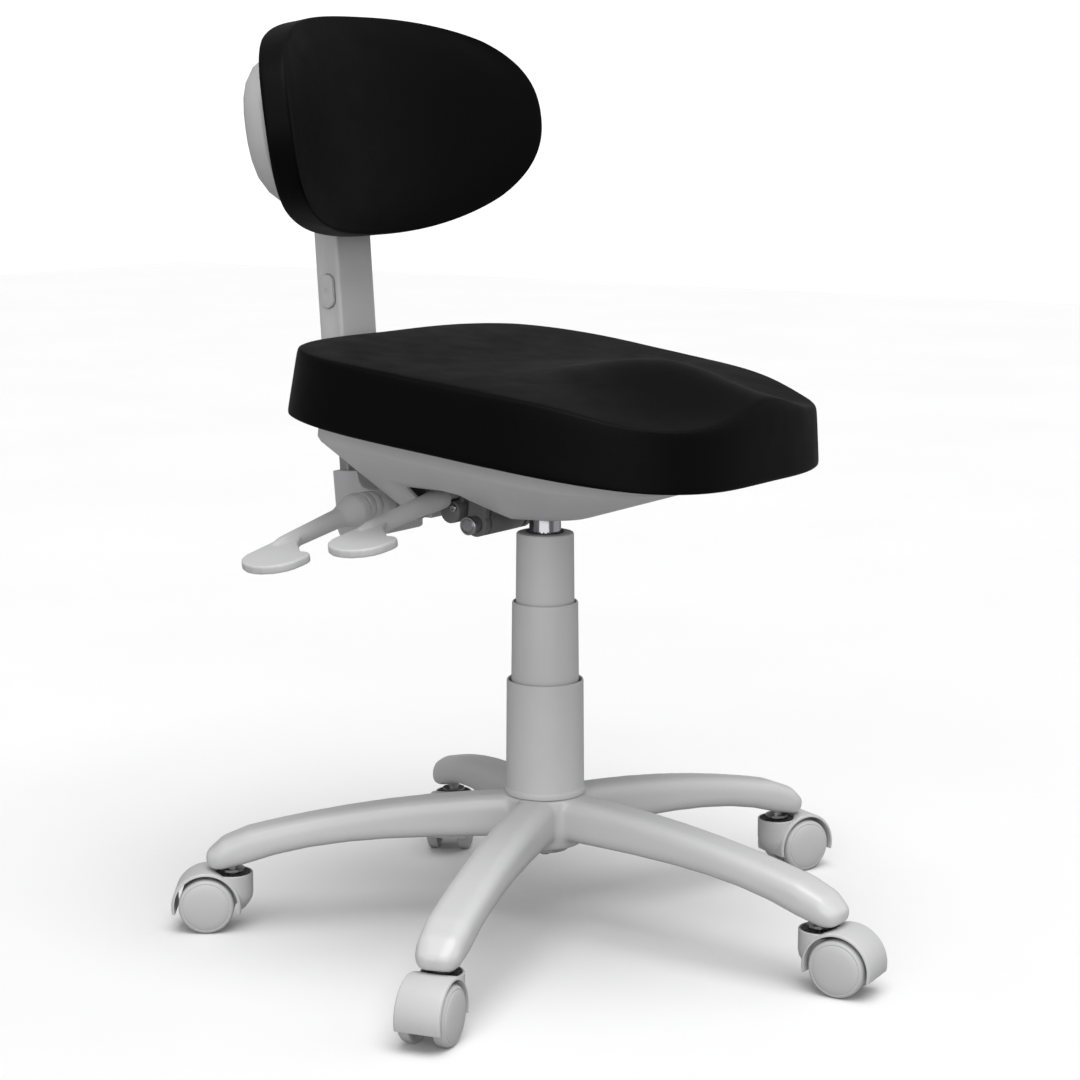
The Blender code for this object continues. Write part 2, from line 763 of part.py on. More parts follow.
def make_pan(parent):
    """The moulded underside: a loft from the flat rim down to the small floor."""
    count = 40
    rim = pan_outline(PAN_FRONT, PAN_REAR, PAN_HALF_FRONT, PAN_HALF_REAR, count)
    floor = pan_outline(-0.060, 0.115, 0.040, 0.057, count)
    top = SEAT_PLANE - 0.0020
    rows = []
    bm = bmesh.new()
    rows.append([bm.verts.new((x, y + SEAT_SHIFT, top)) for x, y in rim])
    rows.append([bm.verts.new((x, y + SEAT_SHIFT, top - PAN_RIM + 0.002)) for x, y in rim])
    for share in (0.04, 0.5, 0.93):
        row = []
        for (rim_x, rim_y), (floor_x, floor_y) in zip(rim, floor):
            x = rim_x + (floor_x - rim_x) * share
            y = rim_y + (floor_y - rim_y) * share + SEAT_SHIFT
            deep = 0.0118 - 0.122 * (floor_y + SEAT_SHIFT)
            row.append(bm.verts.new((x, y, top - PAN_RIM + (deep - top + PAN_RIM) * share)))
        rows.append(row)
    last = []
    for x, y in floor:
        y += SEAT_SHIFT
        last.append(bm.verts.new((x * 0.93, y * 0.95, 0.0095 - 0.122 * y)))
    rows.append(last)
    for upper, lower in zip(rows, rows[1:]):
        for step in range(count):
            after = (step + 1) % count
            bm.faces.new((upper[step], upper[after], lower[after], lower[step]))
    bm.faces.new(rows[-1])
    mesh = from_bmesh("pan", bm)
    helper = bpy.data.objects.new("helper", mesh)
    bpy.context.scene.collection.objects.link(helper)
    thick = helper.modifiers.new("Wall", "SOLIDIFY")
    thick.thickness = 0.0025
    thick.offset = -1
    shell = evaluated(helper)
    bpy.data.objects.remove(helper)
    # room for the column, the mechanism and the back arm
    well = moved(disc(0.0310, -0.05, 0.03, 32), (0, -0.0515, 0), (-SEAT_TILT, 0, 0))
    cheek_way = box((-0.0386, -0.0360, -0.03), (0.0386, 0.0900, 0.030))
    arm_way = box((-0.0310, 0.0400, -0.03), (0.0310, 0.1700, 0.030))
    # the cut-out that the height lever comes through
    notch = plate(
        [
            (0.0420, 0.0315),
            (0.0000, 0.0370),
            (-0.0165, 0.0360),
            (-0.0280, 0.0260),
            (-0.0395, 0.0170),
            (-0.0520, 0.0060),
            (-0.0560, -0.0300),
            (0.0370, -0.0300),
        ],
        -0.20,
        -0.005,
        "X",
    )
    made = combined("seat_pan", shell, [], [well, cheek_way, arm_way, notch])
    piece("seat_pan", made, parent, (LIGHT_GREY, 0.5))


def make_seat(parent):
    cushion = rounded(pad_solid(11, SEAT_EXPONENT, seat_point), 0.007, 2, 55)
    piece("seat_cushion", cushion, parent, (BLACK, 0.5))
    board_top = SEAT_PLANE - GAP
    board_bottom = board_top - BOARD_THICKNESS
    outline = pan_outline(-0.143, 0.140, 0.116, 0.127, 32)
    shifted = [(x, y + SEAT_SHIFT) for x, y in outline]
    board = plate(shifted, board_bottom, board_top)
    piece("seat_board", board, parent, (WOOD, 0.7))
    plate_top = board_bottom - GAP
    top_plate = rounded(box((-0.070, -0.125, plate_top - 0.003), (0.070, 0.085, plate_top)), 0.001)
    joined = []
    for side in (-1, 1):
        inner = 0.0285 * side
        outer = 0.0345 * side
        low = min(inner, outer)
        high = max(inner, outer)
        joined.append(box((low, -0.0095, -0.002), (high, 0.0095, plate_top - 0.001)))
        joined.append(along_x(disc(0.0115, -high, -low, 24)))
        rear_y = pivot_in_seat().y
        rear_z = pivot_in_seat().z
        joined.append(box((low, rear_y - 0.009, rear_z), (high, rear_y + 0.009, plate_top - 0.001)))
        joined.append(moved(along_x(disc(0.009, -high, -low, 24)), (0, rear_y, rear_z)))
    bores = [
        along_x(disc(SHAFT_RADIUS + GAP, -0.05, 0.05, 24)),
        moved(along_x(disc(0.004 + GAP, -0.05, 0.05, 16)), pivot_in_seat()),
    ]
    frame = combined("seat_frame", top_plate, joined, bores)
    piece("seat_frame", frame, parent, (DARK, 0.5, 0.5))
    for number, (x, y) in enumerate(((-0.055, -0.110), (0.055, -0.110), (-0.055, 0.070), (0.055, 0.070))):
        head_top = plate_top - 0.003 - GAP
        head_foot = head_top - 0.0035
        bolt = turned([(0, head_top), (0.0055, head_top), (0.0048, head_foot), (0, head_foot)], 16)
        piece(f"seat_bolt_{number + 1}", bolt, parent, (STEEL, 0.3, 1.0), (x, y, 0))


def pivot_in_seat():
    """The back's pivot in the tilted seat's own frame."""
    offset = Vector((0, BACK_PIVOT_Y - TILT_Y, BACK_PIVOT_Z - TILT_Z))
    offset.rotate(rotation_about_x(-SEAT_TILT))
    return offset


def rotation_about_x(angle):
    helper = bpy.data.objects.new("helper", None)
    helper.rotation_euler = (angle, 0, 0)
    turn = helper.matrix_basis.to_quaternion()
    bpy.data.objects.remove(helper)
    return turn


# -------------------------------------------------------------- the backrest

def make_back_arm(parent):
    """The L-shaped arm under the seat, and the flat bar that rises from it."""
    y0 = BACK_PIVOT_Y
    z0 = BACK_PIVOT_Z
    outline = [
        (0.2205, 0.3985),
        (0.1915, 0.4005),
        (0.1890, 0.3905),
        (0.1850, 0.3865),
        (0.1780, 0.3850),
        (0.1060, 0.3850),
        (0.1060, 0.3650),
        (0.1540, 0.3650),
        (0.1540, 0.3480),
        (0.1570, 0.3460),
        (0.2060, 0.3370),
        (0.2130, 0.3385),
        (0.2155, 0.3435),
    ]
    shifted = [(y - y0, z - z0) for y, z in outline]
    solid = rounded(plate(shifted, -0.0250, 0.0250, "X"), 0.0015, 2, 50)
    bar_slot_low = sleeve_point(0, 0, -0.205) - Vector((0, y0, z0))
    slot = moved(
        box((-BAR_WIDTH / 2 - GAP, -BAR_DEPTH / 2 - GAP, 0), (BAR_WIDTH / 2 + GAP, BAR_DEPTH / 2 + GAP, 0.1)),
        bar_slot_low,
        (-POST_LEAN, 0, 0),
    )
    bore = along_x(disc(0.004 + GAP, -0.05, 0.05, 16))
    lever_place = (0, TILT_LEVER_Y - y0, TILT_LEVER_Z - z0)
    lever_bore = moved(along_x(disc(0.0065, 0.019, 0.05, 16)), lever_place)
    arm = combined("back_arm", solid, [], [slot, bore, lever_bore])
    piece("back_arm", arm, parent, (STEEL, 0.5, 0.2))
    bar = rounded(
        box((-BAR_WIDTH / 2, -BAR_DEPTH / 2, -0.2045), (BAR_WIDTH / 2, BAR_DEPTH / 2, 0.050)), 0.001, 1
    )
    at = Vector((0, POST_Y, POST_Z)) - Vector((0, y0, z0))
    piece("back_bar", bar, parent, (STEEL, 0.4, 0.9), at, (-POST_LEAN, 0, 0))


def sleeve_point(x, y, z):
    """A point of the leaning post's frame, in the column's frame."""
    offset = Vector((x, y, z))
    offset.rotate(rotation_about_x(-POST_LEAN))
    return offset + Vector((0, POST_Y, POST_Z))


def make_back_pin(parent):
    pin = along_x(disc(0.004, -0.038, 0.038, 16))
    piece("back_pivot_pin", pin, parent, (STEEL, 0.3, 1.0), pivot_in_seat())


def bent(x, y, z):
    """A point of the backrest: x and z on its face, y behind it, wrapped round the sitter."""
    radius = BACK_BEND + y
    turn = x / BACK_BEND
    offset = Vector((radius * math.sin(turn), radius * math.cos(turn) - BACK_BEND, z))
    offset.rotate(rotation_about_x(-BACK_LEAN))
    return offset


def back_cushion_point(x, y, top):
    """The flat unit pad wrapped into the backrest; top is the sitter's side."""
    edge = min(1.0, math.hypot(x, y))
    depth = -0.008 * (1 - edge**4) if top else 0.024
    pull = 1.0 if top else 0.985
    place = bent(BACK_HALF_WIDTH * x * pull, depth, BACK_HALF_HEIGHT * y * pull)
    return place


def back_slab(segments, exponent, half_width, half_height, near, far, taper=1.0):
    """A slab that follows the backrest's bend between two depths."""
    def place(x, y, top):
        if top:
            return bent(half_width * x, near, half_height * y)
        return bent(half_width * taper * x, far, half_height * taper * y)
    return pad_solid(segments, exponent, place)


def make_backrest(parent):
    base = Vector((0, BACK_Y, BACK_Z)) - Vector((0, POST_Y, POST_Z))
    cushion = rounded(pad_solid(10, BACK_EXPONENT, back_cushion_point), 0.006, 1, 55)
    piece("back_cushion", cushion, parent, (BLACK, 0.5), base)
    board = back_slab(8, 2.4, 0.148, 0.066, 0.0254, 0.0289)
    piece("back_board", board, parent, (WOOD, 0.7), base)
    outer = rounded(back_slab(8, 2.4, 0.166, 0.081, 0.0252, 0.0500, 0.86), 0.006, 1, 45)
    inner = back_slab(8, 2.4, 0.1625, 0.0775, 0.010, 0.047, 0.86)
    sleeve_room = moved(
        box((-0.0285, -0.0165, -0.10), (0.0285, 0.0450, SLEEVE_TOP + 0.004)),
        -base,
        (-POST_LEAN, 0, 0),
    )
    shell = combined("back_shell", outer, [], [inner, sleeve_room])
    piece("back_shell", shell, parent, (LIGHT_GREY, 0.45), base)
    make_sleeve(parent, base)


def make_sleeve(parent, base):
    """The moulded sleeve that slides on the bar, its tongue and the latch pocket."""
    half_width = SLEEVE_WIDTH / 2
    half_depth = SLEEVE_DEPTH / 2
    body = rounded(
        box((-half_width, -half_depth, SLEEVE_BOTTOM), (half_width, half_depth, SLEEVE_TOP)), 0.0025
    )
    tongue = moved(box((-0.020, 0.0293, -0.046), (0.020, 0.0345, 0.030)), base, (-BACK_LEAN, 0, 0))
    tongue_in_sleeve = moved(tongue, rotation=(POST_LEAN, 0, 0))
    slot_half_width = BAR_WIDTH / 2 + 0.0004
    slot_half_depth = BAR_DEPTH / 2 + 0.0004
    slot = box((-slot_half_width, -slot_half_depth, -0.2), (slot_half_width, slot_half_depth, 0.105))
    pocket = plate(stadium(0.0078, 0.0078), -0.03, -0.0215, "X")
    mesh = combined("back_sleeve", body, [tongue_in_sleeve], [slot, pocket])
    piece("back_sleeve", mesh, parent, (LIGHT_GREY, 0.45), (0, 0, 0), (-POST_LEAN, 0, 0))


def stadium(radius, half_straight):
    """A slot-shaped outline, upright in (y, z)."""
    points = []
    for step in range(9):
        angle = math.pi * step / 8
        points.append((radius * math.cos(angle), half_straight + radius * math.sin(angle)))
    for step in range(9):
        angle = math.pi + math.pi * step / 8
        points.append((radius * math.cos(angle), -half_straight + radius * math.sin(angle)))
    return points


def make_latch(parent):
    button = rounded(plate(stadium(0.0075, 0.0078), -0.0285, -0.0243, "X"), 0.0012, 2, 50)
    dimple = along_x(disc(0.0020, 0.0275, 0.032, 12))
    mesh = combined("latch_button", button, [], [dimple])
    piece("latch_button", mesh, parent, (LIGHT_GREY, 0.4), (0, 0, 0), (-POST_LEAN, 0, 0))


def main():
    origin = empty("stool", (0, COLUMN_Y, 0))
    make_star_base(origin)
    make_column(origin)
    make_casters(origin)
    make_sliding_covers(origin)
    make_gas_lift(origin)
    make_mechanism(origin)
    make_height_lever(origin)
    seat = empty("seat_tilt", (0, TILT_Y, TILT_Z), origin, (SEAT_TILT, 0, 0))
    make_seat(seat)
    make_pan(seat)
    make_back_pin(seat)
    back = empty("back_tilt", (0, BACK_PIVOT_Y, BACK_PIVOT_Z), origin)
    make_back_arm(back)
    make_tilt_lever(origin)
    carriage = empty("back_height", (0, POST_Y, POST_Z), origin)
    make_backrest(carriage)
    make_latch(carriage)


main()
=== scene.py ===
import json
import math

import bmesh
import bpy
from mathutils import Euler, Matrix, Vector

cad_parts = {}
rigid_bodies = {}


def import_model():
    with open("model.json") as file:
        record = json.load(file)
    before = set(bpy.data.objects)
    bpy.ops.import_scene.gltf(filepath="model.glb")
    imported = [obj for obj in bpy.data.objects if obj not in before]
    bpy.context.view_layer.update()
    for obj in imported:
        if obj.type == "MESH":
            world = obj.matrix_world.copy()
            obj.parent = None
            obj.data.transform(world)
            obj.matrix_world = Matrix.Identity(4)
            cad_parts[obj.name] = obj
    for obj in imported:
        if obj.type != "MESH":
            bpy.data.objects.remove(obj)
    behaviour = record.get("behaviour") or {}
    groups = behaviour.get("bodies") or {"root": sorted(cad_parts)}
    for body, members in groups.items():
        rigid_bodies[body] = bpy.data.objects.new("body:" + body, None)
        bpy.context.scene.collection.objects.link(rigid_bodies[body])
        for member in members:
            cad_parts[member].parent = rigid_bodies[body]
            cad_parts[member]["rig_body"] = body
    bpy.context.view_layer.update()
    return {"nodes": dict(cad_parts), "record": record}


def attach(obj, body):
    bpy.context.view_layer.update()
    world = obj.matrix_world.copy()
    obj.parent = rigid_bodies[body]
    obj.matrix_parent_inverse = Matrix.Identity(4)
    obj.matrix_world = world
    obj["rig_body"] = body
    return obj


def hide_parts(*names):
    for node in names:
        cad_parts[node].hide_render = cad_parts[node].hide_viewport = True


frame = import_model()
nodes = frame["nodes"]
columnY = 0.0273  # the column stands this far behind the middle of the floor box

print("camera and light")
view = {
    "place": (-1.7775, -1.2143, 0.7284),
    "target": (-0.0026, 0.0310, 0.3524),
    "lens": 83.6,
    "floorSize": 14.0,
    "keyPower": 2.3,
    "fillPower": 1.8,
    "sidePower": 0.45,
    "skyStrength": 0.30,
    "skySeen": 1.1,
    "floorBounce": 0.30,
}


def aim(item, target):
    item.rotation_euler = (Vector(target) - item.location).to_track_quat("-Z", "Y").to_euler()


def addLight(name, place, spread, power):
    # a broad, even light from far away, as from a large softbox
    lamp = bpy.data.lights.new(name, "SUN")
    lamp.angle = math.radians(spread)
    lamp.energy = power
    item = bpy.data.objects.new(name, lamp)
    bpy.context.scene.collection.objects.link(item)
    item.location = place
    aim(item, (0, 0, 0.35))


camera = bpy.data.objects.new("camera", bpy.data.cameras.new("camera"))
bpy.context.scene.collection.objects.link(camera)
camera.location = view["place"]
aim(camera, view["target"])
camera.data.lens = view["lens"]
camera.data.sensor_width = 36
bpy.context.scene.camera = camera
bpy.context.scene.view_settings.view_transform = "Standard"

addLight("keyLight", (-0.5, -0.7, 3.0), 50, view["keyPower"])
addLight("fillLight", (-2.5, -1.3, 0.75), 70, view["fillPower"])
addLight("sideLight", (1.8, -2.0, 1.3), 70, view["sidePower"])

world = bpy.data.worlds.new("paleRoom")
bpy.context.scene.world = world
world.use_nodes = True
sky = world.node_tree.nodes["Background"]
sky.inputs["Color"].default_value = (1, 1, 1, 1)
# the backdrop is white to look at, and lights the stool more softly
seen = world.node_tree.nodes.new("ShaderNodeLightPath")
glow = world.node_tree.nodes.new("ShaderNodeMapRange")
glow.inputs["To Min"].default_value = view["skyStrength"]
glow.inputs["To Max"].default_value = view["skySeen"]
world.node_tree.links.new(seen.outputs["Is Camera Ray"], glow.inputs["Value"])
world.node_tree.links.new(glow.outputs["Result"], sky.inputs["Strength"])

bpy.ops.object.select_all(action="DESELECT")
bpy.ops.mesh.primitive_plane_add(size=view["floorSize"])
floor = bpy.context.object
floor.name = "floor"


print("materials")


def shaderGroup(name, inputs, outputs):
    group = bpy.data.node_groups.new(name, "ShaderNodeTree")
    for label, kind in inputs:
        group.interface.new_socket(label, in_out="INPUT", socket_type=kind)
    for label, kind in outputs:
        group.interface.new_socket(label, in_out="OUTPUT", socket_type=kind)
    return group, group.nodes.new("NodeGroupInput"), group.nodes.new("NodeGroupOutput")


def fineNoise(group, coordinates, scale, detail=3.0):
    noise = group.nodes.new("ShaderNodeTexNoise")
    noise.inputs["Detail"].default_value = detail
    group.links.new(coordinates.outputs["Object"], noise.inputs["Vector"])
    if isinstance(scale, (int, float)):
        noise.inputs["Scale"].default_value = scale
    else:
        group.links.new(scale, noise.inputs["Scale"])
    return noise.outputs["Fac"]


def mapped(group, value, low, high, fromLow=0.3, fromHigh=0.7):
    node = group.nodes.new("ShaderNodeMapRange")
    node.inputs["From Min"].default_value = fromLow
    node.inputs["From Max"].default_value = fromHigh
    for label, given in (("To Min", low), ("To Max", high)):
        if isinstance(given, (int, float)):
            node.inputs[label].default_value = given
        else:
            group.links.new(given, node.inputs[label])
    group.links.new(value, node.inputs["Value"])
    return node.outputs["Result"]


def makeHandling():
    # soft uneven shade and polish, as on parts that hands and floors rub
    group, entry, exit = shaderGroup(
        "handling",
        [("Light", "NodeSocketColor"), ("Dark", "NodeSocketColor"), ("Scale", "NodeSocketFloat"),
         ("Polished", "NodeSocketFloat"), ("Dull", "NodeSocketFloat")],
        [("Color", "NodeSocketColor"), ("Roughness", "NodeSocketFloat")],
    )
    coordinates = group.nodes.new("ShaderNodeTexCoord")
    cloud = fineNoise(group, coordinates, entry.outputs["Scale"])
    mix = group.nodes.new("ShaderNodeMix")
    mix.data_type = "RGBA"
    group.links.new(mapped(group, cloud, 0.0, 1.0), mix.inputs["Factor"])
    group.links.new(entry.outputs["Light"], mix.inputs[6])
    group.links.new(entry.outputs["Dark"], mix.inputs[7])
    group.links.new(mix.outputs[2], exit.inputs["Color"])
    smear = fineNoise(group, coordinates, 34.0, 5.0)
    rough = mapped(group, smear, entry.outputs["Polished"], entry.outputs["Dull"])
    group.links.new(rough, exit.inputs["Roughness"])
    return group


def makeMouldGrain():
    # the fine spark-eroded skin of a moulded or painted part
    group, entry, exit = shaderGroup(
        "mouldGrain", [("Scale", "NodeSocketFloat")], [("Height", "NodeSocketFloat")]
    )
    coordinates = group.nodes.new("ShaderNodeTexCoord")
    skin = fineNoise(group, coordinates, entry.outputs["Scale"], 2.0)
    group.links.new(skin, exit.inputs["Height"])
    return group


def makeLeatherGrain():
    # small rounded cells with thin valleys between them
    group, entry, exit = shaderGroup(
        "leatherGrain",
        [("Scale", "NodeSocketFloat")],
        [("Height", "NodeSocketFloat")],
    )
    coordinates = group.nodes.new("ShaderNodeTexCoord")
    cells = group.nodes.new("ShaderNodeTexVoronoi")
    cells.feature = "SMOOTH_F1"
    cells.inputs["Smoothness"].default_value = 0.35
    group.links.new(coordinates.outputs["Object"], cells.inputs["Vector"])
    group.links.new(entry.outputs["Scale"], cells.inputs["Scale"])
    height = mapped(group, cells.outputs["Distance"], 1.0, 0.0, 0.05, 0.7)
    group.links.new(height, exit.inputs["Height"])
    return group


handling = makeHandling()
mouldGrain = makeMouldGrain()
leatherGrain = makeLeatherGrain()


def placeGroup(tree, group, values):
    node = tree.nodes.new("ShaderNodeGroup")
    node.node_tree = group
    for label, value in values.items():
        node.inputs[label].default_value = value
    return node


def shade(colour, share):
    return tuple(channel * share for channel in colour) + (1,)


def makeMaterial(name, look):
    item = bpy.data.materials.new(name)
    item.use_nodes = True
    tree = item.node_tree
    shader = tree.nodes["Principled BSDF"]
    shader.inputs["Metallic"].default_value = look.get("metallic", 0.0)
    shader.inputs["IOR"].default_value = look.get("ior", 1.46)
    shader.inputs["Specular IOR Level"].default_value = look.get("specular", 0.5)
    shader.inputs["Coat Weight"].default_value = look.get("coat", 0.0)
    shader.inputs["Coat Roughness"].default_value = 0.25
    shader.inputs["Sheen Weight"].default_value = look.get("sheen", 0.0)
    shader.inputs["Sheen Roughness"].default_value = 0.4
    touch = placeGroup(tree, handling, {
        "Light": shade(look["colour"], 1.0),
        "Dark": shade(look["colour"], 1 - look["mottle"]),
        "Scale": look["mottleScale"],
        "Polished": look["roughness"] - look["spread"],
        "Dull": look["roughness"] + look["spread"],
    })
    tree.links.new(touch.outputs["Color"], shader.inputs["Base Color"])
    tree.links.new(touch.outputs["Roughness"], shader.inputs["Roughness"])
    grain = placeGroup(tree, look["grain"], {"Scale": look["grainScale"]})
    bump = tree.nodes.new("ShaderNodeBump")
    bump.inputs["Strength"].default_value = look["bump"]
    bump.inputs["Distance"].default_value = look["depth"]
    tree.links.new(grain.outputs["Height"], bump.inputs["Height"])
    tree.links.new(bump.outputs["Normal"], shader.inputs["Normal"])
    return item


looks = {
    "vinyl": {
        "colour": (0.0018, 0.0018, 0.0019), "specular": 0.07, "mottle": 0.25, "mottleScale": 9,
        "roughness": 0.47, "spread": 0.04, "grain": leatherGrain, "grainScale": 900,
        "bump": 0.16, "depth": 0.0004, "sheen": 0.0,
    },
    "moulding": {
        "colour": (0.56, 0.56, 0.563), "mottle": 0.05, "mottleScale": 14, "roughness": 0.44,
        "spread": 0.05, "grain": mouldGrain, "grainScale": 2400, "bump": 0.12, "depth": 0.0002,
    },
    "paint": {
        "colour": (0.6, 0.6, 0.603), "mottle": 0.04, "mottleScale": 10, "roughness": 0.34,
        "spread": 0.05, "grain": mouldGrain, "grainScale": 700, "bump": 0.1, "depth": 0.0002,
        "coat": 0.25,
    },
    # a darker copy of the light grey paint for the back bracket: painted shade for its place under
    # the seat
    "shadedBracketPaint": {
        "colour": (0.46, 0.46, 0.47), "mottle": 0.1, "mottleScale": 24, "roughness": 0.42,
        "spread": 0.06, "grain": mouldGrain, "grainScale": 1500, "bump": 0.15, "depth": 0.0002,
    },
    "chrome": {
        "colour": (0.36, 0.36, 0.37), "mottle": 0.04, "mottleScale": 30, "roughness": 0.17,
        "spread": 0.03, "grain": mouldGrain, "grainScale": 300, "bump": 0.03, "depth": 0.0001,
        "metallic": 1.0,
    },
    "steel": {
        "colour": (0.42, 0.42, 0.43), "mottle": 0.12, "mottleScale": 60, "roughness": 0.32,
        "spread": 0.07, "grain": mouldGrain, "grainScale": 1800, "bump": 0.1, "depth": 0.0001,
        "metallic": 1.0,
    },
    "casting": {
        "colour": (0.17, 0.17, 0.175), "mottle": 0.2, "mottleScale": 40, "roughness": 0.5,
        "spread": 0.08, "grain": mouldGrain, "grainScale": 1100, "bump": 0.3, "depth": 0.0003,
    },
    "darkMoulding": {
        "colour": (0.05, 0.05, 0.052), "mottle": 0.15, "mottleScale": 30, "roughness": 0.45,
        "spread": 0.05, "grain": mouldGrain, "grainScale": 2000, "bump": 0.12, "depth": 0.0002,
    },
    "plywood": {
        "colour": (0.5, 0.36, 0.21), "mottle": 0.35, "mottleScale": 18, "roughness": 0.6,
        "spread": 0.08, "grain": mouldGrain, "grainScale": 260, "bump": 0.3, "depth": 0.0003,
    },
    "paleFloor": {
        "colour": (0.9, 0.9, 0.9), "mottle": 0.02, "mottleScale": 2, "roughness": 0.7,
        "spread": 0.05, "grain": mouldGrain, "grainScale": 500, "bump": 0.02, "depth": 0.0002,
    },
}
finishes = {name: makeMaterial(name, look) for name, look in looks.items()}
slots = {
    "vinyl": "upholstery", "moulding": "light_plastic", "paint": "painted", "shadedBracketPaint": "painted",
    "chrome": "chrome", "steel": "steel", "casting": "dark_cast",
    "darkMoulding": "dark_plastic", "plywood": "plywood",
}


def paint(piece, finish):
    piece.data.materials.clear()
    piece.data.materials.append(finishes[finish])


floor.data.materials.append(finishes["paleFloor"])
floorTree = finishes["paleFloor"].node_tree
floorShader = floorTree.nodes["Principled BSDF"]
floorSeen = floorTree.nodes.new("ShaderNodeLightPath")
bounce = floorTree.nodes.new("ShaderNodeMix")
bounce.data_type = "RGBA"
bounce.inputs[6].default_value = shade((1, 1, 1), view["floorBounce"])
floorTree.links.new(floorSeen.outputs["Is Camera Ray"], bounce.inputs["Factor"])
floorTree.links.new(floorShader.inputs["Base Color"].links[0].from_socket, bounce.inputs[7])
floorTree.links.new(bounce.outputs[2], floorShader.inputs["Base Color"])
nodeFinishes = {slotName: finish for finish, slotName in slots.items() if finish != "shadedBracketPaint"}
for subpart in frame["record"]["subparts"]:
    paint(nodes[subpart["node"]], nodeFinishes[subpart["material_slot"]])


print("shaping tools")


def pick(piece):
    bpy.ops.object.select_all(action="DESELECT")
    piece.select_set(True)
    bpy.context.view_layer.objects.active = piece


def applyModifier(piece, kind, **settings):
    pick(piece)
    modifier = piece.modifiers.new(kind.lower(), kind)
    for label, value in settings.items():
        setattr(modifier, label, value)
    bpy.ops.object.modifier_apply(modifier=modifier.name)


def roundEdges(piece, width, segments=3, angle=35, smooth=35):
    applyModifier(piece, "BEVEL", width=width, segments=segments, limit_method="ANGLE",
                  angle_limit=math.radians(angle), harden_normals=False)
    pick(piece)
    bpy.ops.object.shade_smooth_by_angle(angle=math.radians(smooth))


def settle(piece, place=(0, 0, 0), turn=(0, 0, 0)):
    piece.location = place
    piece.rotation_euler = turn
    pick(piece)
    bpy.ops.object.transform_apply(location=True, rotation=True, scale=True)


def fromOutline(name, outline):
    # a ring of corners in the X-Z plane
    bpy.ops.object.select_all(action="DESELECT")
    bpy.ops.mesh.primitive_circle_add(vertices=len(outline), radius=1)
    piece = bpy.context.object
    piece.name = name
    for corner, (across, up) in zip(piece.data.vertices, outline):
        corner.co = (across, 0, up)
    return piece


def turnPiece(name, outline, steps=96):
    piece = fromOutline(name, outline)
    bpy.ops.object.mode_set(mode="EDIT")
    bpy.ops.mesh.select_all(action="SELECT")
    bpy.ops.mesh.spin(steps=steps, angle=2 * math.pi, center=(0, 0, 0), axis=(0, 0, 1))
    bpy.ops.mesh.select_all(action="SELECT")
    bpy.ops.mesh.remove_doubles(threshold=0.00001)
    bpy.ops.mesh.delete_loose(use_verts=True, use_edges=True, use_faces=False)
    bpy.ops.mesh.select_all(action="SELECT")
    bpy.ops.mesh.normals_make_consistent(inside=False)
    bpy.ops.object.mode_set(mode="OBJECT")
    return piece


def slabPiece(name, outline, low, high):
    # a flat outline in X-Z, thickened along Y from low to high
    piece = fromOutline(name, outline)
    bpy.ops.object.mode_set(mode="EDIT")
    bpy.ops.mesh.select_all(action="SELECT")
    bpy.ops.transform.translate(value=(0, low, 0))
    bpy.ops.mesh.edge_face_add()
    bpy.ops.mesh.extrude_region_move(TRANSFORM_OT_translate={"value": (0, high - low, 0)})
    bpy.ops.mesh.select_all(action="SELECT")
    bpy.ops.mesh.normals_make_consistent(inside=False)
    bpy.ops.object.mode_set(mode="OBJECT")
    return piece


def cut(piece, tool, operation="DIFFERENCE"):
    applyModifier(piece, "BOOLEAN", object=tool, operation=operation, solver="EXACT")
    bpy.data.objects.remove(tool)


def joinPieces(first, others):
    pick(first)
    for other in others:
        other.select_set(True)
    bpy.ops.object.join()
    return first


def bodyOf(node):
    return nodes[node]["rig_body"]


def standFor(piece, node, finish):
    paint(piece, finish)
    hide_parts(node)
    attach(piece, bodyOf(node))


def duplicate(piece, name):
    twin = piece.copy()
    twin.data = piece.data.copy()
    twin.name = name
    bpy.context.scene.collection.objects.link(twin)
    return twin


def copyNode(node, name):
    piece = bpy.data.objects.new(name, nodes[node].data.copy())
    bpy.context.scene.collection.objects.link(piece)
    pick(piece)
    bpy.ops.object.mode_set(mode="EDIT")
    bpy.ops.mesh.select_all(action="SELECT")
    bpy.ops.mesh.remove_doubles(threshold=0.00001)
    bpy.ops.mesh.dissolve_limited(angle_limit=math.radians(0.5))
    bpy.ops.object.mode_set(mode="OBJECT")
    return piece


print("star base")
starBase = copyNode("star_base", "starBase")
applyModifier(starBase, "REMESH", mode="VOXEL", voxel_size=0.0020, use_smooth_shade=True)
applyModifier(starBase, "SMOOTH", factor=0.5, iterations=14)
pick(starBase)
bpy.ops.object.shade_smooth()
standFor(starBase, "star_base", "paint")


print("column")
covers = {
    "cover_lower": [(0.0328, 0.2285), (0.0338, 0.2279), (0.0341, 0.2265), (0.0348, 0.1315),
                    (0.0360, 0.1295), (0.0360, 0.1258), (0.0325, 0.1258), (0.0322, 0.2255),
                    (0.0318, 0.2270)],
    "cover_middle": [(0.0277, 0.2985), (0.0288, 0.2979), (0.0292, 0.2965), (0.0302, 0.2075),
                     (0.0302, 0.2055), (0.0284, 0.2055), (0.0276, 0.2955), (0.0272, 0.2970)],
    "cover_upper": [(0.0146, 0.3600), (0.0232, 0.3600), (0.0248, 0.3594), (0.0253, 0.3580),
                    (0.0262, 0.2725), (0.0262, 0.2705), (0.0244, 0.2705), (0.0235, 0.3578),
                    (0.0146, 0.3578)],
}
for node, outline in covers.items():
    cover = turnPiece(node.replace("_", "") + "Sleeve", outline)
    roundEdges(cover, 0.0004, 2, 25, 30)
    settle(cover, (0, columnY, 0))
    standFor(cover, node, "moulding")

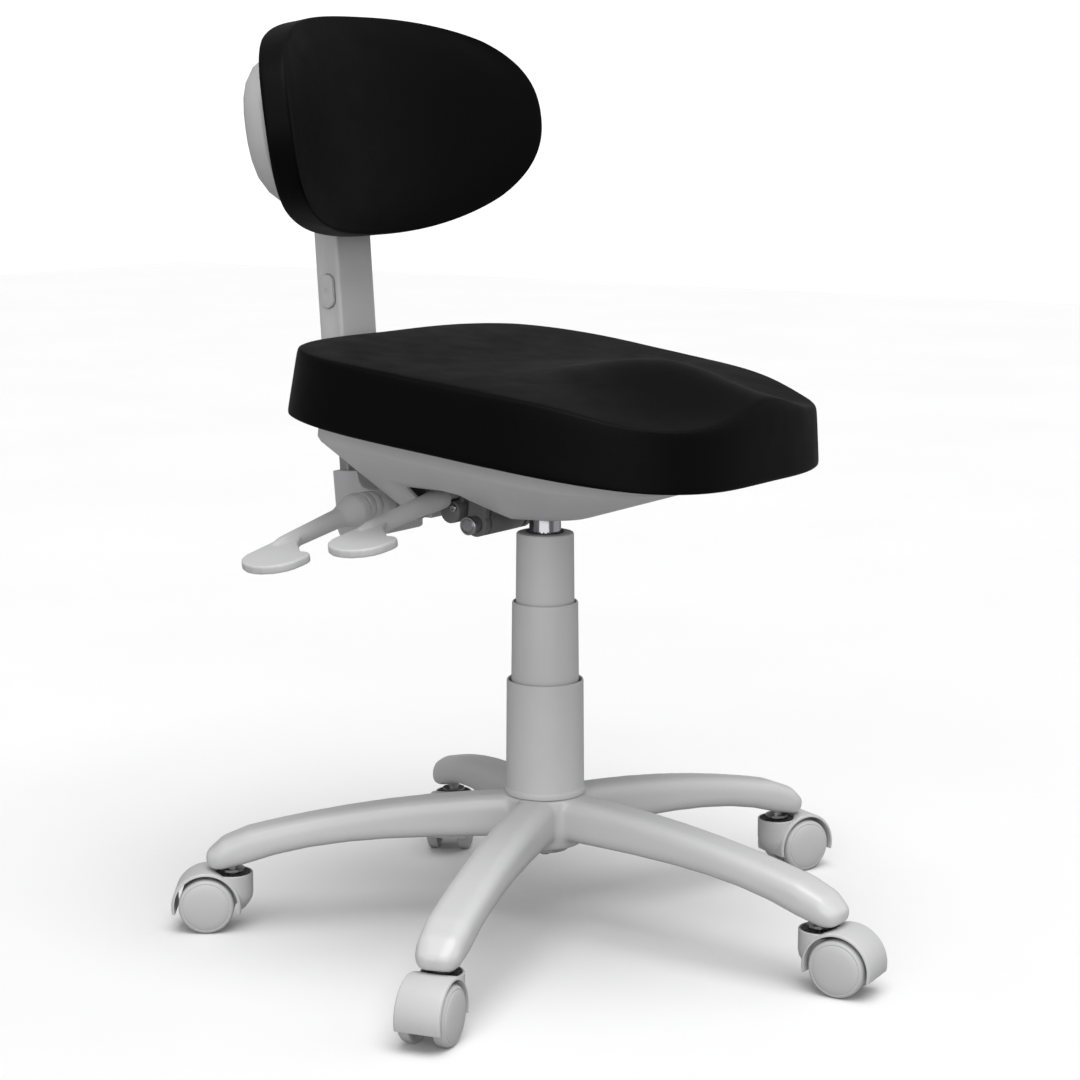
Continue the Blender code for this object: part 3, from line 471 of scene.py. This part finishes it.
cylinder = turnPiece("chromeCylinder", [
    (0.0023, 0.4095), (0.0130, 0.4095), (0.0140, 0.4075), (0.0140, 0.2055), (0.0132, 0.2045),
    (0.0053, 0.2045), (0.0053, 0.2125), (0.0110, 0.2125), (0.0110, 0.3915), (0.0023, 0.3945)])
roundEdges(cylinder, 0.0002, 2, 30, 30)
settle(cylinder, (0, columnY, 0))
standFor(cylinder, "gas_cylinder", "chrome")

# the toothed ring that closes the top cover round the cylinder
ringFacts = {"inner": 0.0146, "outer": 0.0164, "bottom": 0.3601, "top": 0.3606, "teeth": 24}
guideRing = turnPiece("guideRing", [
    (ringFacts["inner"], ringFacts["top"]), (ringFacts["outer"], ringFacts["top"] - 0.0002),
    (ringFacts["outer"], ringFacts["bottom"]), (ringFacts["inner"], ringFacts["bottom"])])
teeth = []
for number in range(ringFacts["teeth"]):
    around = 2 * math.pi * number / ringFacts["teeth"]
    bpy.ops.object.select_all(action="DESELECT")
    bpy.ops.mesh.primitive_cube_add(size=1)
    tooth = bpy.context.object
    tooth.scale = (0.0020, 0.0014, 0.0012)
    settle(tooth, (0.0157 * math.cos(around), 0.0157 * math.sin(around), 0.3609), (0, 0, around))
    teeth.append(tooth)
joinPieces(guideRing, teeth)
roundEdges(guideRing, 0.0001, 1, 40, 30)
settle(guideRing, (0, columnY, 0))
paint(guideRing, "darkMoulding")
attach(guideRing, "cover_upper")


print("casters")
casters = {
    "rear_right": (126, 127), "right": (198, 194.5), "front": (270, 275), "left": (342, 337),
    "rear_left": (54, 208),
}
casterFacts = {"circle": 0.280, "offset": 0.0225, "axleHeight": 0.02475, "hood": 0.0310,
               "hoodHalf": 0.0198, "well": 0.0284}


def drumPiece(name, radius, halfWidth, steps=96):
    bpy.ops.object.select_all(action="DESELECT")
    bpy.ops.mesh.primitive_cylinder_add(vertices=steps, radius=radius, depth=2 * halfWidth)
    drum = bpy.context.object
    drum.name = name
    settle(drum, (casterFacts["offset"], 0, casterFacts["axleHeight"]), (math.pi / 2, 0, 0))
    return drum


def makeHood():
    hood = drumPiece("casterHood", casterFacts["hood"], casterFacts["hoodHalf"])
    roundEdges(hood, 0.0022, 4, 50)
    neck = turnPiece("neck", [
        (0, 0.0518), (0.0176, 0.0518), (0.0182, 0.0511), (0.0182, 0.0335), (0.0172, 0.0285),
        (0.0147, 0.0240), (0.0112, 0.0195), (0.0087, 0.0175), (0, 0.0150)], 72)
    cut(hood, neck, "UNION")
    cut(hood, drumPiece("well", casterFacts["well"], 0.03))
    bpy.ops.mesh.primitive_cube_add(size=0.14, location=(0.02, 0, 0.0180 - 0.07))
    cut(hood, bpy.context.object)
    cut(hood, turnPiece("recess", [(0, 0.0468), (0.0165, 0.0468), (0.0165, 0.08), (0, 0.08)], 72))
    web = slabPiece("web", [
        (-0.0100, 0.0455), (-0.0125, 0.0330), (0.0060, 0.0150), (0.0290, 0.0150),
        (0.0310, 0.0300), (0.0160, 0.0455)], -0.0080, 0.0080)
    cut(hood, web, "UNION")
    stemBore = [(0, 0.0290), (0.0058, 0.0290), (0.0058, 0.08), (0, 0.08)]
    cut(hood, turnPiece("stemBore", stemBore, 32))
    cut(hood, drumPiece("axleBore", 0.0033, 0.03, 24))
    roundEdges(hood, 0.0006, 2, 50, 32)
    return hood


def makeWheel():
    # tread, domed cap and the seam ring between them
    wheel = turnPiece("wheel", [
        (0, 0.0231), (0.0080, 0.0229), (0.0160, 0.0221), (0.0206, 0.0209), (0.0209, 0.0203),
        (0.0213, 0.0203), (0.0217, 0.0206), (0.0231, 0.0200), (0.0241, 0.0190), (0.02465, 0.0174),
        (0.02475, 0.0160), (0.02475, 0.0112), (0.0242, 0.0102), (0.0215, 0.0100), (0.0205, 0.0112),
        (0.0080, 0.0112), (0.0070, 0.0100), (0.0033, 0.0100), (0.0033, 0.0205), (0, 0.0205)], 96)
    roundEdges(wheel, 0.0002, 2, 35, 30)
    return wheel


def makeCollar():
    # the dark ribbed socket between the leg's end and the hood
    collar = turnPiece("collar", [
        (0.0068, 0.0499), (0.0085, 0.0512), (0.0152, 0.0499), (0.0160, 0.0487), (0.0160, 0.0471),
        (0.0068, 0.0471)], 48)
    ribs = []
    for number in range(16):
        around = 2 * math.pi * number / 16
        bpy.ops.object.select_all(action="DESELECT")
        bpy.ops.mesh.primitive_cube_add(size=1)
        rib = bpy.context.object
        rib.scale = (0.0078, 0.0010, 0.0040)
        settle(rib, (0.0117 * math.cos(around), 0.0117 * math.sin(around), 0.0504), (0, 0, around))
        ribs.append(rib)
    joinPieces(collar, ribs)
    roundEdges(collar, 0.0002, 2, 40, 30)
    return collar


hoodModel = makeHood()
wheelModel = makeWheel()
collarModel = makeCollar()
for place, (legAngle, trailAngle) in casters.items():
    leg = math.radians(legAngle)
    trail = math.radians(trailAngle)
    reach = casterFacts["circle"]
    spot = Vector((reach * math.cos(leg), reach * math.sin(leg) + columnY, 0))
    hood = duplicate(hoodModel, "hood_" + place)
    settle(hood, spot, (0, 0, trail))
    standFor(hood, "caster_hood_" + place, "moulding")
    collar = duplicate(collarModel, "collar_" + place)
    settle(collar, spot, (0, 0, trail))
    paint(collar, "darkMoulding")
    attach(collar, "caster_" + place)
    offset = casterFacts["offset"]
    axle = Vector((offset * math.cos(trail), offset * math.sin(trail), casterFacts["axleHeight"]))
    for side, tilt in (("a", math.pi / 2), ("b", -math.pi / 2)):
        wheel = duplicate(wheelModel, "wheel_" + side + "_" + place + "_shown")
        turn = Matrix.Rotation(trail, 4, "Z") @ Matrix.Rotation(tilt, 4, "X")
        settle(wheel, spot + axle, turn.to_euler())
        standFor(wheel, "wheel_" + side + "_" + place, "moulding")
for model in (hoodModel, wheelModel, collarModel):
    bpy.data.objects.remove(model)


print("levers, brackets and mouldings")
for node, name in (("height_lever", "heightPaddle"), ("tilt_lever", "tiltPaddle")):
    lever = copyNode(node, name)
    applyModifier(lever, "REMESH", mode="VOXEL", voxel_size=0.0009, use_smooth_shade=True)
    applyModifier(lever, "SMOOTH", factor=0.5, iterations=16)
    standFor(lever, node, "moulding")

for node, name, width, finish in (
    ("seat_pan", "panMoulding", 0.0010, "moulding"),
    # the back bracket takes the darker copy of the paint, painted shade for its place under the
    # seat
    ("back_arm", "backBracket", 0.0007, "shadedBracketPaint"),
    ("back_sleeve", "postSleeve", 0.0006, "moulding"),
    ("back_shell", "rearShell", 0.0012, "moulding"),
    ("latch_button", "latchKey", 0.0003, "moulding"),
    ("mechanism_block", "mechanismCasting", 0.0008, "casting"),
):
    piece = copyNode(node, name)
    roundEdges(piece, width, 2, 38, 38)
    standFor(piece, node, finish)


print("screws and ferrules")


def alongX(piece, place):
    # a turned piece whose own axis is laid along -X from its place
    settle(piece, place, (0, -math.pi / 2, 0))


def hexScrew(name, radius, height):
    screw = turnPiece(name, [
        (0, height), (radius * 0.8, height), (radius, height * 0.75), (radius, 0), (0, 0)], 40)
    bpy.ops.object.select_all(action="DESELECT")
    bpy.ops.mesh.primitive_cylinder_add(vertices=6, radius=radius * 0.5, depth=height,
                                        location=(0, 0, height))
    cut(screw, bpy.context.object)
    roundEdges(screw, radius * 0.06, 2, 30, 30)
    return screw


tiltPivotY = 0.050 + columnY
shaftCap = turnPiece("shaftCap", [
    (0, 0.0012), (0.0052, 0.0012), (0.0056, 0.0006), (0.0062, 0.0006), (0.0066, 0.0018),
    (0.0076, 0.0018), (0.0084, 0.0010), (0.0084, -0.0010), (0, -0.0010)], 64)
roundEdges(shaftCap, 0.0001, 2, 30, 30)
alongX(shaftCap, (-0.0455, tiltPivotY, 0.3665))
paint(shaftCap, "steel")
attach(shaftCap, "lift")

bossScrew = hexScrew("bossScrew", 0.0034, 0.0022)
alongX(bossScrew, (-0.0420, 0.0958, 0.3800))
paint(bossScrew, "chrome")
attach(bossScrew, "lift")

ferrule = turnPiece("tiltFerrule", [
    (0.0043, 0.0385), (0.0128, 0.0385), (0.0136, 0.0375), (0.0136, 0.0310), (0.0128, 0.0295),
    (0.0134, 0.0280), (0.0134, 0.0215), (0.0126, 0.0200), (0.0130, 0.0185), (0.0130, 0.0020),
    (0.0120, 0.0010), (0.0043, 0.0010)], 64)
roundEdges(ferrule, 0.0003, 2, 30, 30)
alongX(ferrule, (-0.0290, 0.154 + columnY, 0.3755))
paint(ferrule, "moulding")
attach(ferrule, "tilt_lever")

print("padding")
seatFacts = {
    "plane": 0.0885, "shift": -0.0395, "front": -0.231, "rear": 0.195, "halfFront": 0.165,
    "halfRear": 0.205, "exponent": 3.35, "thickness": 0.060, "tiltY": 0.050, "tiltZ": 0.3665,
    "tilt": math.radians(7), "swell": 0.0005, "smoothing": 3,
}
backFacts = {
    "y": 0.191, "z": 0.7105, "lean": 0.15, "bend": 0.286, "halfWidth": 0.195,
    "halfHeight": 0.099, "exponent": 2.28, "swell": 0.0005, "smoothing": 4,
}
clothFacts = {"pressure": 4, "stiffness": 25, "quality": 4, "lastFrame": 20}


def saddleHeight(x, y):
    edge = seatFacts["thickness"] - 0.010 * math.exp(-(((y + 0.85) / 0.28) ** 2))
    rise = min(1.0, max(0.0, (0.20 - y) / 0.75))
    pommel = 0.025 * (3 * rise**2 - 2 * rise**3) * math.exp(-((x / 0.36) ** 2))
    dish = 0.007 * (1 - x * x) * math.exp(-(((y - 0.35) / 0.42) ** 2))
    nose = min(1.0, max(0.0, (-0.55 - y) / 0.45))
    pommel *= 1 - 0.30 * nose * nose
    return edge + pommel - dish - 0.004 * max(0.0, y) ** 3


def seatPoint(x, y, top):
    middle = (seatFacts["front"] + seatFacts["rear"]) / 2
    half = (seatFacts["rear"] - seatFacts["front"]) / 2
    along = middle + half * y
    share = (along - seatFacts["front"]) / (2 * half)
    across = seatFacts["halfFront"] + (seatFacts["halfRear"] - seatFacts["halfFront"]) * share
    height = 0
    if top:
        along -= y * (0.002 if y > 0 else 0.008)
        across -= 0.006
        height = saddleHeight(x, y)
    spot = Vector((across * x, along + seatFacts["shift"], seatFacts["plane"] + height))
    spot.rotate(Euler((seatFacts["tilt"], 0, 0)))
    return spot + Vector((0, seatFacts["tiltY"] + columnY, seatFacts["tiltZ"]))


def backPoint(x, y, top):
    edge = min(1.0, math.hypot(x, y))
    depth = -0.008 * (1 - edge**4) if top else 0.024
    pull = 1.0 if top else 0.985
    turn = x * pull * backFacts["halfWidth"] / backFacts["bend"]
    radius = backFacts["bend"] + depth
    spot = Vector((radius * math.sin(turn), radius * math.cos(turn) - backFacts["bend"],
                   backFacts["halfHeight"] * y * pull))
    spot.rotate(Euler((-backFacts["lean"], 0, 0)))
    return spot + Vector((0, backFacts["y"] + columnY, backFacts["z"]))


def padPiece(name, exponent, placePoint, cells=64, sideCuts=7):
    bpy.ops.object.select_all(action="DESELECT")
    bpy.ops.mesh.primitive_grid_add(x_subdivisions=cells, y_subdivisions=cells, size=2)
    pad = bpy.context.object
    pad.name = name
    flat = []
    for corner in pad.data.vertices:
        x = corner.co.x * math.sqrt(1 - corner.co.y**2 / 2)
        y = corner.co.y * math.sqrt(1 - corner.co.x**2 / 2)
        radius = math.hypot(x, y)
        if radius > 1e-9:
            spread = abs(x / radius) ** exponent + abs(y / radius) ** exponent
            stretch = spread ** (-1 / exponent)
            x *= stretch
            y *= stretch
        flat.append((x, y))
    for corner, (x, y) in zip(pad.data.vertices, flat):
        corner.co = (x, y, 0)
    bpy.ops.object.mode_set(mode="EDIT")
    bpy.ops.mesh.select_all(action="SELECT")
    bpy.ops.mesh.extrude_region_move(TRANSFORM_OT_translate={"value": (0, 0, 1)})
    bpy.ops.mesh.select_all(action="DESELECT")
    bpy.ops.mesh.select_mode(type="EDGE")
    walls = bmesh.from_edit_mesh(pad.data)
    for edge in walls.edges:
        edge.select_set(abs(edge.verts[0].co.z - edge.verts[1].co.z) > 0.5)
    bmesh.update_edit_mesh(pad.data)
    bpy.ops.mesh.subdivide(number_cuts=sideCuts)
    bpy.ops.mesh.select_mode(type="VERT")
    bpy.ops.object.mode_set(mode="OBJECT")
    soft = pad.vertex_groups.new(name="soft")
    for corner in pad.data.vertices:
        level = corner.co.z
        soft.add([corner.index], 0.35 + 0.65 * level, "REPLACE")
        x, y = corner.co.x, corner.co.y
        corner.co = placePoint(x, y, False).lerp(placePoint(x, y, True), level)
    bpy.ops.object.mode_set(mode="EDIT")
    bpy.ops.mesh.select_all(action="SELECT")
    bpy.ops.mesh.normals_make_consistent(inside=False)
    bpy.ops.object.mode_set(mode="OBJECT")
    return pad


def swellPad(pad, cap):
    # the cover is blown out a little by the foam under it, and no point moves further than the cap
    start = [corner.co.copy() for corner in pad.data.vertices]
    cloth = pad.modifiers.new("swell", "CLOTH")
    cloth.settings.use_pressure = True
    cloth.settings.uniform_pressure_force = clothFacts["pressure"]
    cloth.settings.effector_weights.gravity = 0
    cloth.settings.tension_stiffness = clothFacts["stiffness"]
    cloth.settings.compression_stiffness = clothFacts["stiffness"]
    cloth.settings.quality = clothFacts["quality"]
    for moment in range(1, clothFacts["lastFrame"] + 1):
        bpy.context.scene.frame_set(moment)
    graph = bpy.context.evaluated_depsgraph_get()
    swollen = [corner.co.copy() for corner in pad.evaluated_get(graph).data.vertices]
    pad.modifiers.remove(cloth)
    for corner, old, new in zip(pad.data.vertices, start, swollen):
        step = new - old
        if step.length > cap:
            step *= cap / step.length
        corner.co = old + step
    bpy.context.scene.frame_set(1)


def finishPad(pad, facts):
    applyModifier(pad, "SMOOTH", factor=0.5, iterations=facts["smoothing"], vertex_group="soft")
    applyModifier(pad, "DISPLACE", strength=-facts["swell"], mid_level=0.0)
    swellPad(pad, facts["swell"] * 1.5)
    applyModifier(pad, "SMOOTH", factor=0.5, iterations=2, vertex_group="soft")
    applyModifier(pad, "SUBSURF", levels=1, render_levels=1)
    pick(pad)
    bpy.ops.object.shade_smooth()


seatPad = padPiece("seatPad", seatFacts["exponent"], seatPoint)
finishPad(seatPad, seatFacts)
standFor(seatPad, "seat_cushion", "vinyl")
backPad = padPiece("backPad", backFacts["exponent"], backPoint)
finishPad(backPad, backFacts)
standFor(backPad, "back_cushion", "vinyl")


print("finished")
